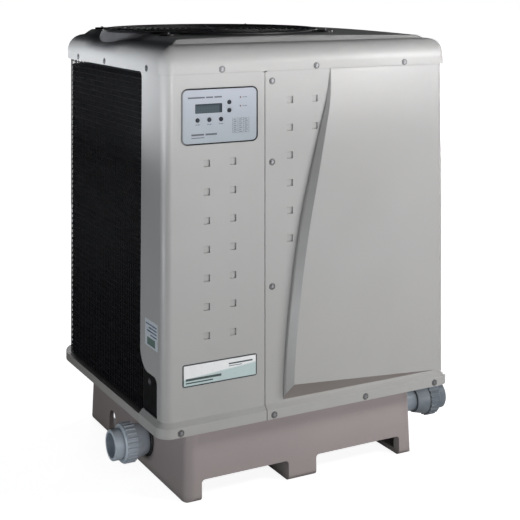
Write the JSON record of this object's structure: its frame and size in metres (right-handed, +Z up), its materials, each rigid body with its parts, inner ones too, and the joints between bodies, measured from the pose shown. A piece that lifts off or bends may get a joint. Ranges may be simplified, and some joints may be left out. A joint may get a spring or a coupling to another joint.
{
  "type": "pool heat pump",
  "caption": "Upright cabinet heat pump on a skid base, with a top fan, a wire-guarded coil on three sides, front panels with a small keypad, and a pipe union on each side.",
  "frame": {"origin": "on the ground, on the flat underside of the middle skid, at the centre of the cabinet footprint", "axes": "+Z up, -Y towards the front panels, +X to the right seen from the front"},
  "size_m": [0.9405, 0.7714, 1.12],
  "materials": {
    "panel_plastic": "warm light grey, fine texture",
    "base_plastic": "taupe, satin moulded",
    "black_metal": "black powder coat",
    "black_plastic": "black moulded",
    "zinc_steel": "zinc plated",
    "fan_plastic": "black glass-filled",
    "motor_paint": "black enamel",
    "galvanised_steel": "galvanised sheet",
    "fin_aluminium": "dark coated fins",
    "copper": "copper tube",
    "guard_vinyl": "vinyl coated wire",
    "compressor_paint": "black enamel",
    "black_rubber": "matte rubber",
    "exchanger_plastic": "dark grey moulded",
    "titanium": "titanium tube",
    "brass": "machined brass",
    "drier_paint": "pale enamel",
    "pipe_plastic": "grey-blue pipe plastic",
    "contact_plastic": "ivory moulded",
    "capacitor_aluminium": "drawn can",
    "transformer_steel": "varnished laminations",
    "cable_rubber": "black jacket",
    "keypad_film": "pale printed film",
    "display_glass": "dark display",
    "light_plastic": "tinted lens",
    "board_green": "circuit board",
    "plate_film": "pale blank plate",
    "key_rubber": "dark key"
  },
  "bodies": {
    "chassis": {"accumulator": "compressor_paint", "base_tray": "base_plastic", "coil_end_plates": "galvanised_steel", "coil_guard_rails": "guard_vinyl", "coil_guard_wires": "guard_vinyl", "coil_return_bends": "copper", "compressor": "compressor_paint", "compressor_bolts": "zinc_steel", "compressor_grommets": "black_rubber", "contactor_body": "black_plastic", "control_board": "board_green", "control_housing": "black_plastic", "discharge_line": "copper", "display_window": "display_glass", "electrical_box": "galvanised_steel", "evaporator_fins": "fin_aluminium", "expansion_valve": "brass", "fan_guard": "black_plastic", "fan_motor": "motor_paint", "fan_shroud": "black_plastic", "filter_drier": "drier_paint", "front_bulkhead": "galvanised_steel", "front_left_panel": "panel_plastic", "front_right_panel": "panel_plastic", "guard_clips": "black_plastic", "guard_screws": "zinc_steel", "heat_exchanger_shell": "exchanger_plastic", "hot_gas_line": "copper", "indicator_lights": "light_plastic", "keypad_plate": "keypad_film", "left_corner_plate": "black_metal", "liquid_line": "copper", "motor_bracket": "galvanised_steel", "name_plate": "plate_film", "panel_screws": "zinc_steel", "reversing_valve": "brass", "right_corner_plate": "black_metal", "run_capacitor": "capacitor_aluminium", "suction_line": "copper", "terminal_block": "contact_plastic", "titanium_coil": "titanium", "top_cover": "panel_plastic", "transformer": "transformer_steel", "union_sockets": "pipe_plastic", "union_tailpieces": "pipe_plastic", "wall_grommets": "black_rubber", "water_inlet_pipe": "pipe_plastic", "water_outlet_pipe": "pipe_plastic", "wiring_loom": "cable_rubber"},
    "fan": {"fan_blades": "fan_plastic", "motor_shaft": "zinc_steel"},
    "nut_left": {"union_nut_left": "pipe_plastic"},
    "nut_right": {"union_nut_right": "pipe_plastic"},
    "armature": {"contactor_armature": "contact_plastic"},
    "key_1_body": {"key_1": "key_rubber"},
    "key_2_body": {"key_2": "key_rubber"},
    "key_3_body": {"key_3": "key_rubber"},
    "key_4_body": {"key_4": "key_rubber"},
    "key_5_body": {"key_5": "key_rubber"}
  },
  "joints": [
    {"name": "fan_spin", "type": "hinge", "parent": "chassis", "child": "fan", "pos_m": [-0.0875, 0.042, 1.056], "axis": [0, 0, 1], "continuous": true},
    {"name": "nut_left_turn", "type": "hinge", "parent": "chassis", "child": "nut_left", "pos_m": [-0.388, -0.083, 0.074], "axis": [1, 0, 0], "continuous": true},
    {"name": "nut_right_turn", "type": "hinge", "parent": "chassis", "child": "nut_right", "pos_m": [0.47, -0.195, 0.084], "axis": [1, 0, 0], "continuous": true},
    {"name": "armature_pull", "type": "slide", "parent": "chassis", "child": "armature", "axis": [0, 1, 0], "range_m": [0, 0.0035]},
    {"name": "key_1_press", "type": "slide", "parent": "chassis", "child": "key_1_body", "axis": [0, 1, 0], "range_m": [0, 0.0008]},
    {"name": "key_2_press", "type": "slide", "parent": "chassis", "child": "key_2_body", "axis": [0, 1, 0], "range_m": [0, 0.0008]},
    {"name": "key_3_press", "type": "slide", "parent": "chassis", "child": "key_3_body", "axis": [0, 1, 0], "range_m": [0, 0.0008]},
    {"name": "key_4_press", "type": "slide", "parent": "chassis", "child": "key_4_body", "axis": [0, 1, 0], "range_m": [0, 0.0008]},
    {"name": "key_5_press", "type": "slide", "parent": "chassis", "child": "key_5_body", "axis": [0, 1, 0], "range_m": [0, 0.0008]}
  ]
}
